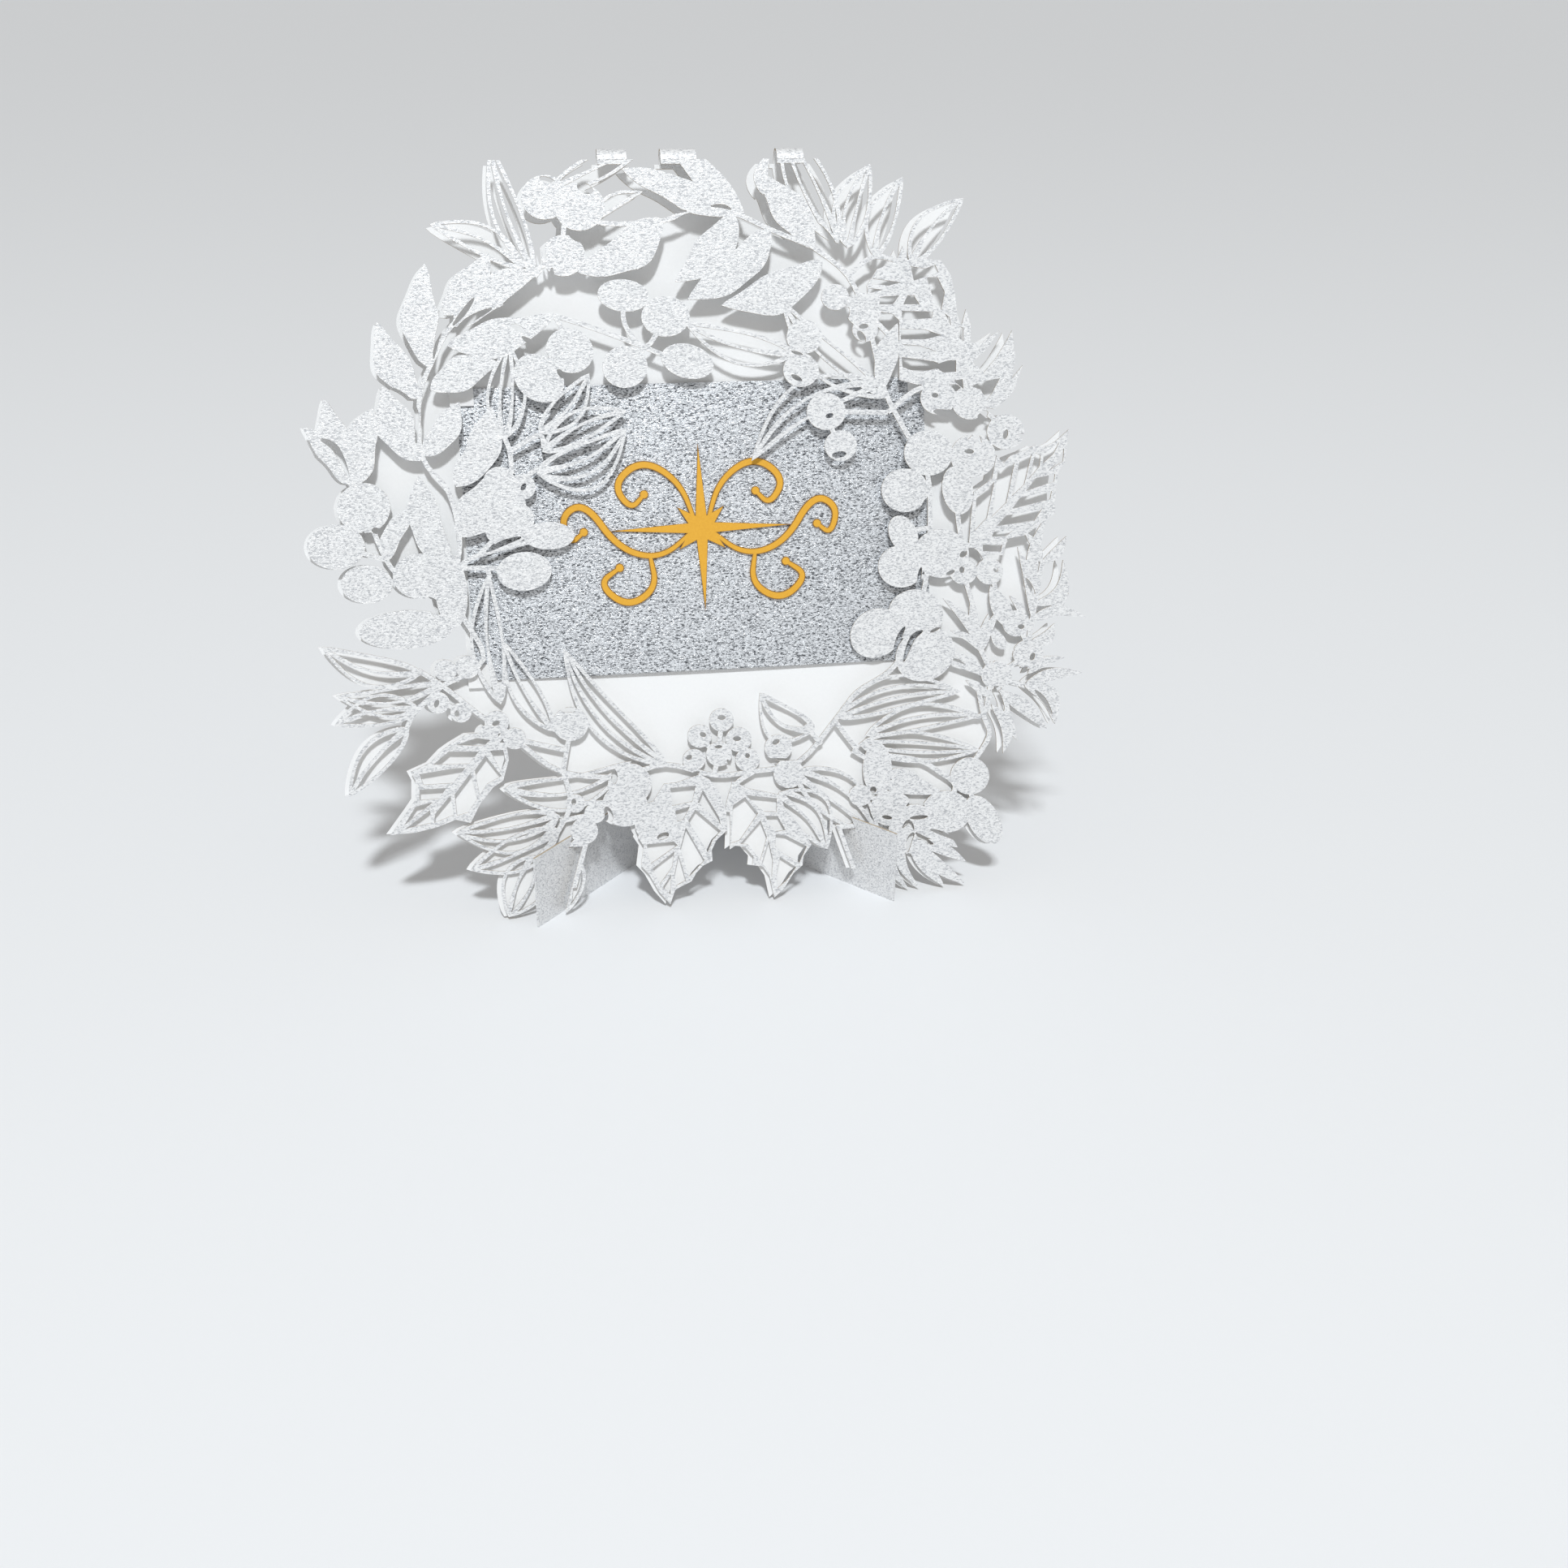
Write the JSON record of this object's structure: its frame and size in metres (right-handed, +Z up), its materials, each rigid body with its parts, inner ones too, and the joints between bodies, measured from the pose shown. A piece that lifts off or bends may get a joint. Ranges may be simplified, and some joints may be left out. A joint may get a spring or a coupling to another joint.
{
  "type": "standing christmas card",
  "caption": "Standing wreath card of folded white paper with a cut lace front, a silver card bearing a gold flourish, and a folded strip that it stands in.",
  "frame": {"origin": "on the floor, under the bend at the back of the folded strip", "axes": "+X to the viewer's right along the wreath's width, +Y to the back, +Z up"},
  "size_m": [0.1528, 0.0531, 0.1368],
  "materials": {
    "pearl_paper": "pearl shimmer outside, matt inside",
    "silver_paper": "fine glitter",
    "gold_paper": "satin with brown cut edges",
    "strip_paper": "pearl shimmer"
  },
  "bodies": {
    "root": {"card_sheet": "pearl_paper", "silver_card": "silver_paper", "gold_flourish": "gold_paper", "stand": "strip_paper"}
  },
  "joints": []
}
